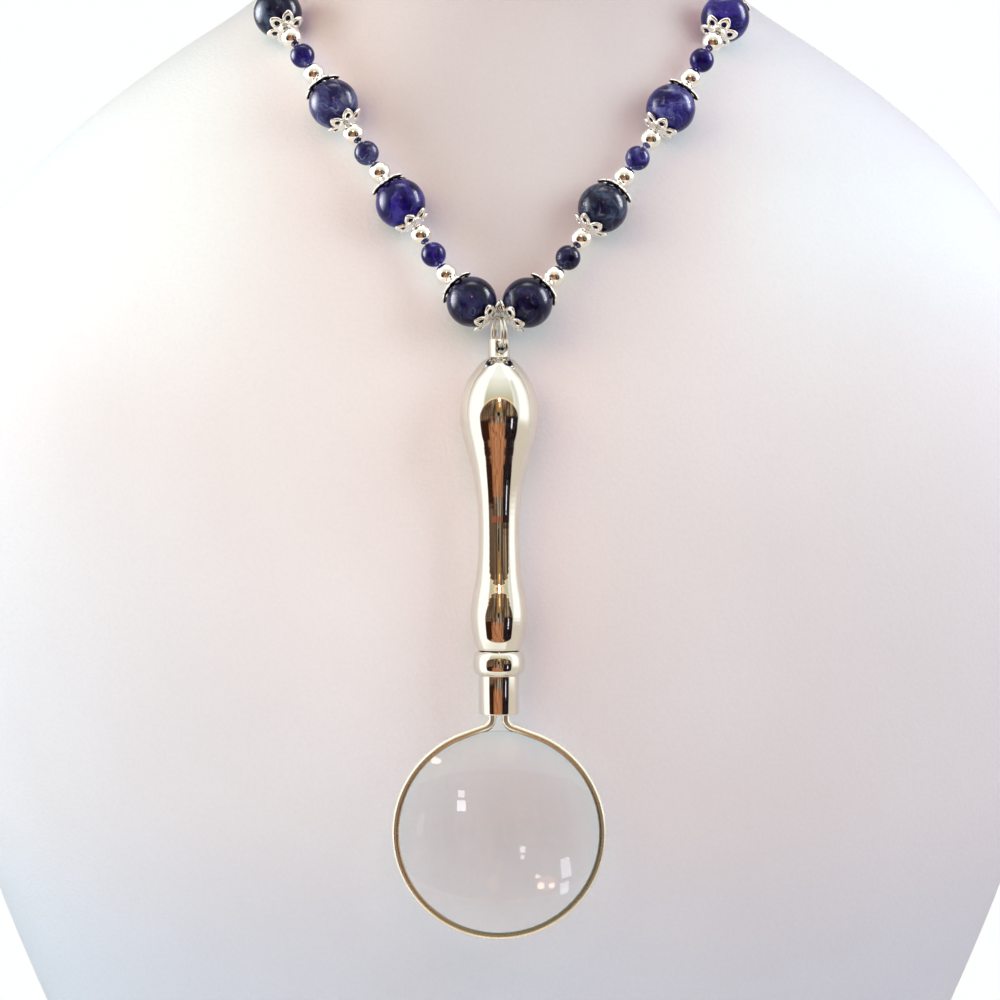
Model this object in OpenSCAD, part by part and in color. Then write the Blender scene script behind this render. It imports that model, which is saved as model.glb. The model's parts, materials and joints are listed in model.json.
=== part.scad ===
// A magnifying glass worn as a pendant on a string of stone and silver beads, laid on a neck bust.
// The origin is the middle of the bust's base, +Z is up and the chest faces -Y.

/* [Neck bust] */
// Height from the base to the top of the neck
bust_h = 380; // [374:1:381]
// Width across the shoulders
shoulder_w = 302; // [290:1:304]
// Depth from the middle plane to the front of the chest
chest_d = 65; // [62:1:66]
// Depth from the middle plane to the back
back_d = 61; // [56:1:62]

/* [String of beads] */
// Height of the thread's level run, where the rings hang, above the base
string_low_h = 211; // [210.8:0.1:211.4]
// Length of that level run
low_run = 1.8; // [1.6:0.1:2.4]
// Diameter of a large stone
large_d = 12; // [11:0.1:12.2]
// Diameter of a small stone
small_d = 6; // [5:0.1:7]
// Diameter of a silver bead
silver_d = 5.3; // [4:0.1:6]
// Bore through every bead
bead_bore = 1; // [0.9:0.05:1.3]
// Diameter of the thread
thread_d = 0.5; // [0.3:0.05:0.6]
// Clear space between two beads on the thread
bead_gap = 0.25; // [0.1:0.05:0.3]
// Length of the clasp behind the neck
clasp_len = 11.6; // [8:0.2:14]
// Diameter of the clasp
clasp_d = 6; // [4:0.2:7]
// Depth of the bore for the thread at each end of the clasp
clasp_bore_depth = 3; // [2:0.5:3.5]

/* [Bead caps] */
// Wall of a bead cap
cap_wall = 0.35; // [0.25:0.05:0.5]
// Clear space between a cap and its stone
cap_clear = 0.1; // [0.1:0.05:0.2]
// Diameter over the petal tips
cap_d = 8; // [7:0.2:8.6]
// Number of petals on a cap
petals = 6; // [5:1:8]
// Width of a petal at its round tip
petal_w = 2.9; // [2.4:0.1:3.1]
// Diameter of the hole in a petal
petal_hole = 1.25; // [0.8:0.05:1.4]
// Large stones on each side, from the lowest, whose caps have their holes cut
cut_stones = 5; // [0:1:5]

/* [Jump rings] */
// Outer diameter of a jump ring
ring_d = 8.4; // [8.2:0.1:9]
// Wire of a jump ring
ring_wire = 0.8; // [0.7:0.05:0.85]
// Distance between the middles of the two rings
ring_pitch = 0.9; // [0.9:0.05:1]
// Clear space between the thread and the rings' wire
ring_clear = 0.3; // [0.25:0.05:0.5]
// Turn of the rings and of the eye's bore away from straight ahead, in degrees
eye_turn = 18; // [0:1:20]

/* [Handle] */
// Length of the turned handle without its eye post
handle_len = 69.3; // [60:0.1:80]
// Largest diameter of the handle, at its upper bulb
bulb_d = 18.7; // [17:0.1:20]
// Diameter of the eye post
post_d = 5.2; // [5:0.1:5.3]
// Height of the eye post above the handle's crown
post_h = 4.1; // [3.8:0.1:5]
// Bore of the eye
eye_d = 3; // [2.9:0.1:3.2]
// Metal left above the eye's bore
eye_bridge = 0.45; // [0.4:0.05:0.6]
// Clear space in the eye's bore under the rings
eye_clear = 0.55; // [0.45:0.05:0.6]
// Clear space between the handle's bulb and the chest
rest_gap = 0.3; // [0.3:0.1:2]

/* [Ferrule] */
// Diameter over the ferrule's round collar
collar_d = 12.3; // [11:0.1:13]
// Height of the collar
collar_h = 6.1; // [5:0.1:7]
// Diameter of the ferrule's sleeve
sleeve_d = 9.6; // [9:0.1:10.4]
// Length of the sleeve under the collar
sleeve_len = 9; // [7:0.1:12]
// Bevel at the sleeve's lower edge
sleeve_bevel = 0.4; // [0.2:0.1:0.8]
// Diameter of the spigot inside the handle
spigot_d = 6; // [4:0.1:7]
// Length of the spigot
spigot_len = 8; // [5:0.5:12]
// Clear space between two fixed metal pieces
seat_gap = 0.1; // [0.1:0.05:0.2]

/* [Lens and frame] */
// Outer diameter of the lens frame
frame_d = 50.8; // [46:0.1:56]
// Diameter of the frame's wire
frame_wire = 2; // [1.8:0.1:2.2]
// Angle from the top at which each end of the wire leaves the circle
leave_angle = 20; // [16:1:22]
// Distance of each upright wire end from the middle
stem_offset = 1.55; // [1.4:0.05:1.7]
// Radius of the bend from the circle to the upright end
stem_bend = 2.4; // [2:0.1:3]
// Height of the sleeve's lower edge above the wire's circle
sleeve_rise = 3.6; // [3.2:0.1:5]
// Length of the wire ends inside the sleeve
stem_grip = 7; // [4:0.5:8]
// Thickness of the lens at its edge
lens_edge = 1.1; // [0.8:0.1:1.3]
// Thickness of the lens at its middle
lens_mid = 6.2; // [4:0.1:8]
// How far the lens sits inside the wire's groove
lens_bite = 0.6; // [0.4:0.1:0.7]
// Clear space round the lens in its groove
lens_clear = 0.1; // [0.1:0.05:0.15]

/* [Hidden] */
$fn = 64;

// Columns of the bust table, in shares: height of bust_h, half width of shoulder_w / 2, front of chest_d,
// back of back_d. The last column is the squareness of the section.
bust_table = [
    [0.000, 0.70, 0.81, 0.75, 2.5],
    [0.008, 0.71, 0.83, 0.77, 2.5],
    [0.030, 0.73, 0.855, 0.79, 2.5],
    [0.090, 0.79, 0.91, 0.85, 2.5],
    [0.185, 0.89, 0.955, 0.90, 2.5],
    [0.280, 0.955, 0.99, 0.95, 2.4],
    [0.390, 0.995, 1.00, 0.985, 2.4],
    [0.480, 1.00, 0.995, 1.00, 2.4],
    [0.560, 0.98, 0.97, 1.00, 2.3],
    [0.625, 0.92, 0.92, 1.00, 2.3],
    [0.680, 0.815, 0.865, 1.00, 2.2],
    [0.725, 0.685, 0.83, 1.00, 2.2],
    [0.760, 0.56, 0.795, 0.975, 2.2],
    [0.795, 0.435, 0.73, 0.92, 2.1],
    [0.840, 0.35, 0.655, 0.85, 2.1],
    [0.910, 0.32, 0.625, 0.83, 2.1],
    [0.985, 0.32, 0.62, 0.82, 2.1],
    [0.997, 0.305, 0.595, 0.79, 2.1],
    [1.000, 0.29, 0.56, 0.755, 2.1]];
bust_steps = 2;
bust_sides = 48;

// Chosen points of the string, in mm, their heights counted from its level run: from the lowest bead cap up
// the wearer's left side of the chest, round the back of the neck and down the other side.
string_points = [
    [2, -74.5, 0.5], [6.5, -73, 4.5], [12, -71, 9.5], [24.5, -66, 27.5], [41.5, -60, 52.5], [56, -50, 77],
    [63.5, -22, 98], [57.5, 20, 109.5], [32, 51, 111.5], [0, 59, 112], [-32, 51, 111.5], [-57.5, 20, 109.5],
    [-63, -22, 99], [-55.5, -49, 79.5], [-40.5, -60, 54.5], [-23.5, -66, 29], [-11.5, -71, 10],
    [-6.5, -73, 4.5], [-2, -74.5, 0.5]];
string_steps = 20;

// Sides of the thread's tube, and the thread's clear space from the end of its bore in the clasp.
thread_sides = 8;
thread_end_gap = 0.5;

// Turn of each stone's caps from those of the stone below, in degrees.
cap_turn = 25;

// How far a cut runs past the metal.
past = 1;

// How much thinner a straight length of the frame's wire is, and how far it reaches into a bent one.
join_step = 0.03;
join_reach = 0.2;

// Columns of the handle table, in shares: height of handle_len, radius of bulb_d / 2.
handle_table = [
    [0.000, 0.545], [0.012, 0.585], [0.050, 0.668], [0.114, 0.722], [0.180, 0.676], [0.262, 0.565],
    [0.390, 0.519], [0.500, 0.553], [0.596, 0.658], [0.675, 0.813], [0.740, 0.945], [0.803, 1.000],
    [0.866, 0.945], [0.918, 0.800], [0.958, 0.600], [0.984, 0.420], [0.994, 0.310]];
handle_steps = 5;

// A curve through points, or through rows of a table, at position t counted in points.
function beyond(p, i, other) = i < 0 || i >= len(p) ? 2 * p[i < 0 ? 0 : len(p) - 1] - p[other] : p[i];
function spline(p, t) =
    let(i = min(floor(t), len(p) - 2), u = t - i,
        a = beyond(p, i - 1, 1), b = p[i], c = p[i + 1], d = beyond(p, i + 2, len(p) - 2))
    b + (c - a) * u / 2 + (2 * a - 5 * b + 4 * c - d) * pow(u, 2) / 2 + (3 * (b - c) + d - a) * pow(u, 3) / 2;
function spline_points(p, steps) = [for (i = [0:(len(p) - 1) * steps]) spline(p, i / steps)];
function unit(v) = v / norm(v);

// Where the pendant hangs: in front of the chest by the handle's bulb.
hang_y = -(chest_d + bulb_d / 2 + rest_gap);
ring_r = (ring_d - ring_wire) / 2;
ring_z = string_low_h + thread_d / 2 + ring_clear + ring_wire / 2 - ring_r;
eye_z = ring_z - ring_d / 2 - eye_clear + eye_d / 2;
crown_z = eye_z + eye_d / 2 + eye_bridge - post_h;
handle_z = crown_z - handle_len;
collar_z = handle_z - seat_gap - collar_h;
sleeve_z = collar_z - sleeve_len;
frame_r = (frame_d - frame_wire) / 2;
lens_z = sleeve_z - sleeve_rise - frame_r;
lens_r = frame_r - frame_wire / 2 + lens_bite;

// The string's path, its length along the way and the place at any length.
string_path = spline_points([for (p = string_points) p + [0, 0, string_low_h]], string_steps);
string_runs = [for (i = 0, s = 0; i < len(string_path);
                    s = s + (i + 1 < len(string_path) ? norm(string_path[i + 1] - string_path[i]) : 0),
                    i = i + 1) s];
string_len = string_runs[len(string_runs) - 1];
string_tables = [for (k = [0:2]) [for (i = [0:len(string_path) - 1]) [string_runs[i], string_path[i][k]]]];
function along(s) = [for (k = [0:2]) lookup(s, string_tables[k])];
// side is 1 from the lowest cap up the +X side and -1 up the other.
function string_at(side, s) = along(side > 0 ? s : string_len - s);

// One repeat of the string: a large stone between two caps, a silver bead, a small stone, a silver bead.
cap_r = large_d / 2 + cap_clear + cap_wall;
capped_len = 2 * cap_r + bead_gap / 2;
silver_1_at = capped_len + bead_gap;
small_at = silver_1_at + silver_d + bead_gap;
silver_2_at = small_at + small_d + bead_gap;
repeat_len = silver_2_at + silver_d + bead_gap;
repeats = floor((string_len - clasp_len) / 2 / repeat_len);
function repeat_at(i) = (i - 1) * repeat_len;

SIDES = [[1, "right"], [-1, "left"]];

// The bust: sections from the table, skinned from the base to the top of the neck.
function section(row) = [for (i = [0:bust_sides - 1])
    let(a = 360 * i / bust_sides, p = 2 / row[4], c = cos(a), s = sin(a))
    [sign(c) * pow(abs(c), p) * row[1] * shoulder_w / 2,
     sign(s) * pow(abs(s), p) * (s < 0 ? row[2] * chest_d : row[3] * back_d),
     row[0] * bust_h]];
function skin_faces(rings, n) = concat(
    [[for (k = [0:n - 1]) k]],
    [[for (k = [0:n - 1]) rings * n - 1 - k]],
    [for (i = [0:rings - 2]) for (k = [0:n - 1])
        [i * n + k, (i + 1) * n + k, (i + 1) * n + (k + 1) % n, i * n + (k + 1) % n]]);

module bust() {
    rows = spline_points(bust_table, bust_steps);
    color("mistyrose")
    polyhedron([for (r = rows) each section(r)], skin_faces(len(rows), bust_sides), convexity = 4);
}

// Turns a piece's Z axis to point along v.
module pointed(v) {
    rotate([0, acos(v[2] / norm(v)), atan2(v[1], v[0])]) children();
}

// Puts a piece on the thread, middle between two places, its Z axis away from the rings.
module strung(side, start, length) {
    a = string_at(side, start);
    b = string_at(side, start + length);
    translate((a + b) / 2) pointed(b - a) children();
}

module drilled_ball(d) {
    difference() {
        sphere(d = d);
        cylinder(d = bead_bore, h = d + 2 * past, center = true);
    }
}

module large_stone(side, i) {
    color("midnightblue") strung(side, repeat_at(i), capped_len) drilled_ball(large_d);
}

module small_stone(side, i) {
    color("navy") strung(side, repeat_at(i) + small_at, small_d) drilled_ball(small_d);
}

module silver_beads(side) {
    color("silver")
    for (i = [1:repeats]) for (at = [silver_1_at, silver_2_at])
        strung(side, repeat_at(i) + at, silver_d) drilled_ball(silver_d);
}

// A cap's outline seen along the thread: round petals about a disc.
module cap_outline(cut) {
    reach = (cap_d - petal_w) / 2;
    difference() {
        union() {
            circle(d = 2 * reach);
            for (k = [0:petals - 1]) rotate(k * 360 / petals) translate([reach, 0]) circle(d = petal_w);
        }
        circle(d = bead_bore);
        if (cut) for (k = [0:petals - 1]) rotate(k * 360 / petals) translate([reach, 0]) circle(d = petal_hole);
    }
}

// The cap is a thin dome round the +Z end of its stone.
module bead_cap(cut) {
    intersection() {
        difference() {
            sphere(r = cap_r);
            sphere(r = cap_r - cap_wall);
        }
        linear_extrude(height = cap_r + past) cap_outline(cut);
    }
}

module bead_caps(side) {
    color("silver")
    for (i = [1:repeats]) for (end = [0, 1])
        strung(side, repeat_at(i), capped_len)
        rotate([180 * end, 0, cap_turn * i]) bead_cap(i <= cut_stones);
}

// The thread: straight through each bead, with its bends in the gaps between them, and level under the rings.
bends = [for (i = [1:repeats]) for (at = [0, silver_1_at, small_at, silver_2_at])
    max(repeat_at(i) + at - bead_gap / 2, 0)];
side_bends = concat(bends, [repeat_at(repeats + 1) - bead_gap / 2]);
clasp_a = string_at(1, (string_len - clasp_len) / 2);
clasp_b = string_at(-1, (string_len - clasp_len) / 2);
thread_grip = unit(clasp_b - clasp_a) * (clasp_bore_depth - thread_end_gap);
thread_points = concat(
    [clasp_b - thread_grip, clasp_b],
    [for (i = [len(side_bends) - 1:-1:0]) string_at(-1, side_bends[i])],
    [for (side = [-1, 1]) [side * low_run / 2, hang_y, string_low_h]],
    [for (s = side_bends) string_at(1, s)],
    [clasp_a, clasp_a + thread_grip]);

// A tube of n sides through points, square to the way at both ends and mitred at each bend.
function ways(p) = [for (i = [0:len(p) - 1])
    i == 0 ? unit(p[1] - p[0]) : i == len(p) - 1 ? unit(p[i] - p[i - 1])
    : unit(unit(p[i] - p[i - 1]) + unit(p[i + 1] - p[i]))];
function square_to(n, w) = unit(n - (n * w) * w);
function sides_of(w) = [for (i = 0, n = square_to([0, 0, 1], w[0]); i < len(w);
    i = i + 1, n = i < len(w) ? square_to(n, w[i]) : n) n];

module tube(p, d, n) {
    w = ways(p);
    up = sides_of(w);
    points = [for (i = [0:len(p) - 1]) for (k = [0:n - 1])
        let(a = 360 * k / n) p[i] + (up[i] * cos(a) + cross(w[i], up[i]) * sin(a)) * d / 2];
    polyhedron(points, skin_faces(len(p), n), convexity = 10);
}

module thread() {
    color("gainsboro") tube(thread_points, thread_d, thread_sides);
}

// A plain barrel with bevelled ends, bored at both ends for the thread.
module clasp() {
    bevel = clasp_d / 5;
    color("silver")
    translate((clasp_a + clasp_b) / 2) pointed(clasp_b - clasp_a) difference() {
        rotate_extrude() polygon([
            [0, -clasp_len / 2], [clasp_d / 2 - bevel, -clasp_len / 2], [clasp_d / 2, -clasp_len / 2 + bevel],
            [clasp_d / 2, clasp_len / 2 - bevel], [clasp_d / 2 - bevel, clasp_len / 2], [0, clasp_len / 2]]);
        for (end = [-1, 1]) translate([0, 0, end * clasp_len / 2])
            cylinder(d = bead_bore, h = 2 * clasp_bore_depth, center = true);
    }
}

// The pendant's pieces are made about its own axis.
module hung(z) {
    translate([0, hang_y, z]) children();
}

// which is -1 for the ring on the -X side and 1 for the other.
module jump_ring(which) {
    color("silver")
    hung(ring_z) rotate([0, 90, eye_turn]) translate([0, 0, which * ring_pitch / 2])
    rotate_extrude() translate([ring_r, 0]) circle(d = ring_wire);
}

module handle() {
    rows = spline_points(handle_table, handle_steps);
    side = [for (r = rows) [r[1] * bulb_d / 2, r[0] * handle_len]];
    top = handle_len + post_h;
    edge = eye_bridge / 2;
    color("silver")
    difference() {
        hung(handle_z) rotate_extrude() polygon(concat(
            [[0, 0]], side,
            [[post_d / 2, handle_len], [post_d / 2, top - edge], [post_d / 2 - edge, top], [0, top]]));
        hung(eye_z) rotate([90, 0, eye_turn]) cylinder(d = eye_d, h = 2 * post_d, center = true);
        hung(handle_z - past) cylinder(d = spigot_d + 2 * seat_gap, h = spigot_len + seat_gap + past);
    }
}

// Collar, sleeve and spigot are turned in one piece.
module ferrule() {
    color("silver")
    difference() {
        hung(sleeve_z) rotate_extrude() union() {
            polygon([
                [0, 0], [sleeve_d / 2 - sleeve_bevel, 0], [sleeve_d / 2, sleeve_bevel],
                [sleeve_d / 2, sleeve_len + collar_h / 2], [spigot_d / 2, sleeve_len + collar_h / 2],
                [spigot_d / 2, sleeve_len + collar_h + seat_gap + spigot_len],
                [0, sleeve_len + collar_h + seat_gap + spigot_len]]);
            translate([collar_d / 2 - collar_h / 2, sleeve_len + collar_h / 2]) circle(d = collar_h);
            translate([0, sleeve_len]) square([collar_d / 2 - collar_h / 2, collar_h]);
        }
        for (side = [-1, 1]) hung(sleeve_z - past) translate([side * stem_offset, 0, 0])
            cylinder(d = frame_wire + 2 * seat_gap, h = stem_grip + seat_gap + past);
    }
}

// A straight length of the frame's wire. It is a hair thinner than the bent ones and reaches into them at its
// ends, so that they join.
module straight_wire(length, past_end = join_reach) {
    translate([0, 0, -join_reach])
        cylinder(d = frame_wire - join_step, h = length + join_reach + past_end);
}

// The frame is one wire: round the lens, then each end runs straight on, bends upright and enters the sleeve.
module lens_frame() {
    straight = (frame_r * sin(leave_angle) - stem_offset - stem_bend * (1 - sin(leave_angle))) / cos(leave_angle);
    bend_x = stem_offset + stem_bend;
    bend_z = frame_r * cos(leave_angle) + straight * sin(leave_angle) + stem_bend * cos(leave_angle);
    stem_top = sleeve_z - lens_z + stem_grip;
    groove_w = lens_edge + 2 * lens_clear;
    groove_r = lens_r + lens_clear;
    color("silver")
    hung(lens_z) {
        rotate([90, -90 - leave_angle, 0]) rotate_extrude(angle = 360 - 2 * leave_angle) difference() {
            translate([frame_r, 0]) circle(d = frame_wire);
            translate([groove_r - frame_wire, -groove_w / 2]) square([frame_wire, groove_w]);
        }
        for (side = [0, 1]) mirror([side, 0, 0]) {
            difference() {
                rotate([0, leave_angle, 0]) translate([0, 0, frame_r]) rotate([0, -90, 0]) straight_wire(straight);
                rotate([90, 0, 0]) cylinder(r = groove_r, h = groove_w, center = true);
            }
            translate([bend_x, 0, bend_z]) rotate([90, 180, 0]) rotate_extrude(angle = 90 - leave_angle)
                translate([stem_bend, 0]) circle(d = frame_wire);
            translate([stem_offset, 0, bend_z]) straight_wire(stem_top - bend_z, 0);
        }
    }
}

// Two equal spherical faces, cut to the lens's rim.
module lens() {
    sag = (lens_mid - lens_edge) / 2;
    ball_r = (pow(lens_r, 2) + pow(sag, 2)) / (2 * sag);
    color("lightcyan")
    hung(lens_z) intersection() {
        rotate([90, 0, 0]) cylinder(r = lens_r, h = lens_mid + past, center = true);
        translate([0, ball_r - lens_mid / 2, 0]) sphere(r = ball_r, $fn = 400);
        translate([0, lens_mid / 2 - ball_r, 0]) sphere(r = ball_r, $fn = 400);
    }
}

bust();
thread();
clasp();
for (s = SIDES) for (i = [1:repeats]) {
    large_stone(s[0], i);
    small_stone(s[0], i);
}
for (s = SIDES) {
    silver_beads(s[0]);
    bead_caps(s[0]);
}
jump_ring(1);  // jump_ring_front
jump_ring(-1);  // jump_ring_back
handle();
ferrule();
lens_frame();
lens();
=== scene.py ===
"""A magnifying glass worn as a pendant on a string of stone and silver beads, laid on a neck bust."""

import json
import math

import bpy
import numpy as np
from mathutils import Matrix, Vector

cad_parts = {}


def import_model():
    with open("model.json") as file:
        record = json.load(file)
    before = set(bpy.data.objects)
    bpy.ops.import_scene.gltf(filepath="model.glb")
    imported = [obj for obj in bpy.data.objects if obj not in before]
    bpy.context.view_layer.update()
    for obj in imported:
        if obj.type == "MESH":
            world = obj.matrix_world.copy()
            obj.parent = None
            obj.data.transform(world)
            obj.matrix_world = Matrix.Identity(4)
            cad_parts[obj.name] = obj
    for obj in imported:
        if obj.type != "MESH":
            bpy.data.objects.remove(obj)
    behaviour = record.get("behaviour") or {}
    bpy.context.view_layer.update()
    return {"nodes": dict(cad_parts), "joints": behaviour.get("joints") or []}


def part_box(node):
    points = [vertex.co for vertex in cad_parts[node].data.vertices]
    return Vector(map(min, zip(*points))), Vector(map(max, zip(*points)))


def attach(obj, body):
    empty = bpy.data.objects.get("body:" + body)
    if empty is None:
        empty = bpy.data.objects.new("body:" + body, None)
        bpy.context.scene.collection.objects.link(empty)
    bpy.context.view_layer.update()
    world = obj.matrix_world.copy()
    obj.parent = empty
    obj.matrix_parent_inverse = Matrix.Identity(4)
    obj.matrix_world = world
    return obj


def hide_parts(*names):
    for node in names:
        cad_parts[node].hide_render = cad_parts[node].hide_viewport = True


MM = 0.001

# The camera stands level in front of the pendant. Pixels are counted from the picture's top left corner.
IMAGE_PX = 1000
PX_PER_MM = 4.23
CAMERA_DISTANCE = 520 * MM
SENSOR = 36.0
PENDANT_AXIS_PX = 499
LENS_MIDDLE_PX = 832.5

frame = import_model()
nodes = frame["nodes"]
scene = bpy.context.scene

REPEATS = sum(name.startswith("large_stone_right_") for name in nodes)
SIDES = ("right", "left")


def middle(name):
    low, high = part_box(name)
    return (low + high) / 2


LENS_MIDDLE = middle("lens")
LENS_RADIUS = 25 * MM
FRAME_WIRE = 2 * MM
FRAME_WIDTH = 50.8 * MM


def cad_points(name):
    """The places of a CAD node's vertices."""
    mesh = nodes[name].data
    points = np.empty(len(mesh.vertices) * 3)
    mesh.vertices.foreach_get("co", points)
    return points.reshape(-1, 3)


def plain_object(name, points, faces):
    mesh = bpy.data.meshes.new(name)
    mesh.from_pydata([tuple(p) for p in points], [], faces)
    mesh.validate()
    piece = bpy.data.objects.new(name, mesh)
    scene.collection.objects.link(piece)
    return piece


def shade_smooth(piece):
    piece.data.polygons.foreach_set("use_smooth", [True] * len(piece.data.polygons))


def sharp_edges(piece, angle):
    """Keeps a smooth piece's edges sharp where its faces meet at more than an angle in degrees."""
    piece.data.set_sharp_from_angle(angle=math.radians(angle))


def unreflected(piece):
    """Neither polish nor glass shows the piece."""
    piece.visible_glossy = piece.visible_transmission = False


def add_object(name, points, faces, material, body):
    """A new smooth piece that rides on a body."""
    piece = plain_object(name, points, faces)
    piece.data.materials.append(material)
    shade_smooth(piece)
    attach(piece, body)
    return piece


def evaluated_mesh(piece):
    """The mesh that the piece's modifiers make."""
    bpy.context.view_layer.update()
    return bpy.data.meshes.new_from_object(piece.evaluated_get(bpy.context.evaluated_depsgraph_get()))


# Materials

# The mesh attribute that marks tarnish and painted shade.
TARNISH_AND_SHADE = "tarnish_and_shade"


class Nodes:
    """A short way to write a shader's nodes."""

    def __init__(self, owner):
        owner.use_nodes = True
        self.tree = owner.node_tree
        self.tree.nodes.clear()

    def add(self, kind, inputs=(), **settings):
        node = self.tree.nodes.new(kind)
        for key, value in settings.items():
            setattr(node, key, value)
        for key, value in dict(inputs).items():
            self.put(node.inputs[key], value)
        return node

    def put(self, socket, value):
        if isinstance(value, bpy.types.NodeSocket):
            self.tree.links.new(value, socket)
        else:
            socket.default_value = value

    def math(self, operation, a, b=0.0, c=0.0, clamp=False):
        node = self.add("ShaderNodeMath", {0: a, 1: b, 2: c}, operation=operation, use_clamp=clamp)
        return node.outputs[0]

    def ramp(self, value, stops, interpolation="LINEAR"):
        node = self.add("ShaderNodeValToRGB", {0: value})
        ramp = node.color_ramp
        ramp.interpolation = interpolation
        while len(ramp.elements) < len(stops):
            ramp.elements.new(0.5)
        for element, (place, colour) in zip(ramp.elements, stops):
            element.position = place
            element.color = colour if len(colour) == 4 else (*colour, 1)
        return node.outputs[0]

    def mix(self, share, a, b, blend="MIX"):
        node = self.add("ShaderNodeMix", data_type="RGBA", blend_type=blend)
        self.put(node.inputs[0], share)
        self.put(node.inputs[6], a if isinstance(a, bpy.types.NodeSocket) else (*a, 1))
        self.put(node.inputs[7], b if isinstance(b, bpy.types.NodeSocket) else (*b, 1))
        return node.outputs[2]

    def length(self, a, b):
        """The square root of a squared and b squared."""
        squares = [self.math("MULTIPLY", value, value) for value in (a, b)]
        return self.math("SQRT", self.math("ADD", *squares))

    def fade(self, value, start, end):
        """0 at start, 1 at end, with a smooth change between."""
        return self.add("ShaderNodeMapRange", {"Value": value, "From Min": start, "From Max": end},
                        interpolation_type="SMOOTHSTEP").outputs[0]

    def noise(self, vector, scale, detail=2.0, roughness=0.5, distortion=0.0):
        return self.add("ShaderNodeTexNoise", {
            "Vector": vector, "Scale": scale, "Detail": detail, "Roughness": roughness,
            "Distortion": distortion}).outputs["Fac"]

    def bump(self, height, distance, strength=1.0, normal=None):
        inputs = {"Height": height, "Distance": distance, "Strength": strength}
        if normal is not None:
            inputs["Normal"] = normal
        return self.add("ShaderNodeBump", inputs).outputs[0]


def new_material(name):
    material = bpy.data.materials.new(name)
    made = Nodes(material)
    place = made.add("ShaderNodeTexCoord").outputs["Object"]
    return material, made, place


def surface(made, **inputs):
    """The material's one shader, with its inputs by name."""
    named = {key.replace("_", " "): value for key, value in inputs.items()}
    shader = made.add("ShaderNodeBsdfPrincipled", named)
    output = made.add("ShaderNodeOutputMaterial", {"Surface": shader.outputs[0]})
    return shader, output


def leather_material():
    """Pale skin with fine pebbles, and painted light: a pale bluish painted highlight on the shoulders,
    painted shade at the throat, and a painted cool cast low down.
    """
    material, made, place = new_material("bust leather")
    pebbles = made.add("ShaderNodeTexVoronoi", {"Vector": place, "Scale": 1150.0, "Randomness": 0.9},
                       feature="F1").outputs["Distance"]
    tone = made.noise(place, 18.0, 2.0)
    normal = made.bump(pebbles, 0.1 * MM, 0.6)
    colour = made.ramp(tone, [(0.3, (0.83, 0.745, 0.72)), (0.7, (0.86, 0.785, 0.765))])
    colour = made.mix(made.math("MULTIPLY", pebbles, 0.25), colour, (0.74, 0.66, 0.645))
    x, _, z = made.add("ShaderNodeSeparateXYZ", {0: place}).outputs
    aside = made.math("ABSOLUTE", x)
    # Painted highlight: the shoulders are made paler and bluer, where window light falls on them.
    shoulder_highlight = made.math("MULTIPLY", made.fade(aside, 42 * MM, 80 * MM), made.fade(z, 185 * MM, 250 * MM))
    colour = made.mix(shoulder_highlight, colour, (1.03, 1.15, 1.17), blend="MULTIPLY")
    # Painted shade: darker in an oval at the throat, between the strands, where the neck keeps the light off
    # the chest.
    sideways = made.math("DIVIDE", made.math("SUBTRACT", x, 9 * MM), 48 * MM)
    upwards = made.math("DIVIDE", made.math("SUBTRACT", z, 262 * MM), 62 * MM)
    reach = made.length(sideways, upwards)
    colour = made.mix(made.fade(reach, 1.15, 0.45), colour, (0.845, 0.845, 0.85), blend="MULTIPLY")
    # Painted cool light: bluer and a little darker towards the bottom.
    colour = made.mix(made.fade(z, 100 * MM, 45 * MM), colour, (0.89, 0.96, 1.02), blend="MULTIPLY")
    surface(made, Base_Color=colour, Roughness=0.5, Normal=normal, Specular_IOR_Level=0.35)
    return material


def silver_material(name, roughness, tone=(0.82, 0.79, 0.71), tarnished_and_shaded=False):
    """Polished silver plate with a trace of unevenness, dark where a piece's mesh marks tarnish and painted
    shade.
    """
    material, made, place = new_material(name)
    smudge = made.noise(place, 160.0, 4.0, 0.6)
    rough = made.add("ShaderNodeMapRange", {
        "Value": smudge, "From Min": 0.35, "From Max": 0.75, "To Min": roughness,
        "To Max": roughness + 0.05}).outputs[0]
    dents = made.noise(place, 420.0, 2.0)
    normal = made.bump(dents, 0.004 * MM, 1.0)
    colour = made.ramp(smudge, [(0.3, tone), (0.75, tuple(0.95 * c for c in tone))])
    if tarnished_and_shaded:
        # Tarnish and painted shade darken the silver where the mesh marks them.
        tarnish_and_shade = made.add("ShaderNodeAttribute", attribute_name=TARNISH_AND_SHADE).outputs["Fac"]
        colour = made.mix(tarnish_and_shade, colour, (0.05, 0.04, 0.035))
    surface(made, Base_Color=colour, Metallic=1.0, Roughness=rough, Normal=normal)
    return material


def from_lens(made, place):
    """Distance from the lens's axis, and height above it."""
    x, _, z = made.add("ShaderNodeSeparateXYZ", {0: place}).outputs
    aside = made.math("SUBTRACT", x, LENS_MIDDLE.x)
    above = made.math("SUBTRACT", z, LENS_MIDDLE.z)
    return made.length(aside, above), aside, above


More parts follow.
